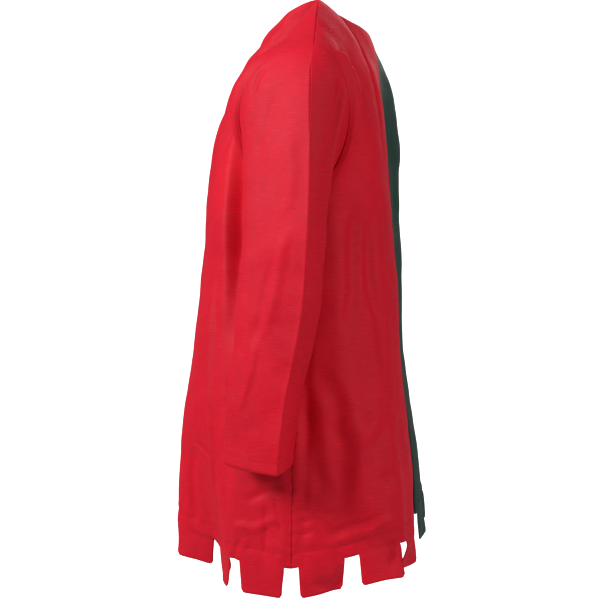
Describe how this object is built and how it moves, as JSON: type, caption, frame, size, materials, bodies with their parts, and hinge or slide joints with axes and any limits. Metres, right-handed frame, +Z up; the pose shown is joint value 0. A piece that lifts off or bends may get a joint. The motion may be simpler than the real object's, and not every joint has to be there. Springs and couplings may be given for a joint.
{
  "type": "medieval surcoat",
  "caption": "Long-sleeved tunic-like surcoat in red and green halves, with a round neck and a hem cut into square tabs, worn by no one.",
  "frame": {"origin": "midway between the two neck points, where the wearer's shoulders carry the garment", "axes": "+Z up, the garment faces -Y, the wearer's left arm is at +X"},
  "size_m": [0.5952, 0.3863, 0.8901],
  "materials": {
    "red_cloth": "plain-woven cotton, matt with a slight sheen",
    "green_cloth": "plain-woven cotton, matt with a slight sheen"
  },
  "bodies": {
    "root": {"front_left": "red_cloth", "back_left": "red_cloth", "sleeve_left": "red_cloth", "front_right": "green_cloth", "back_right": "green_cloth", "sleeve_right": "green_cloth"}
  },
  "joints": []
}
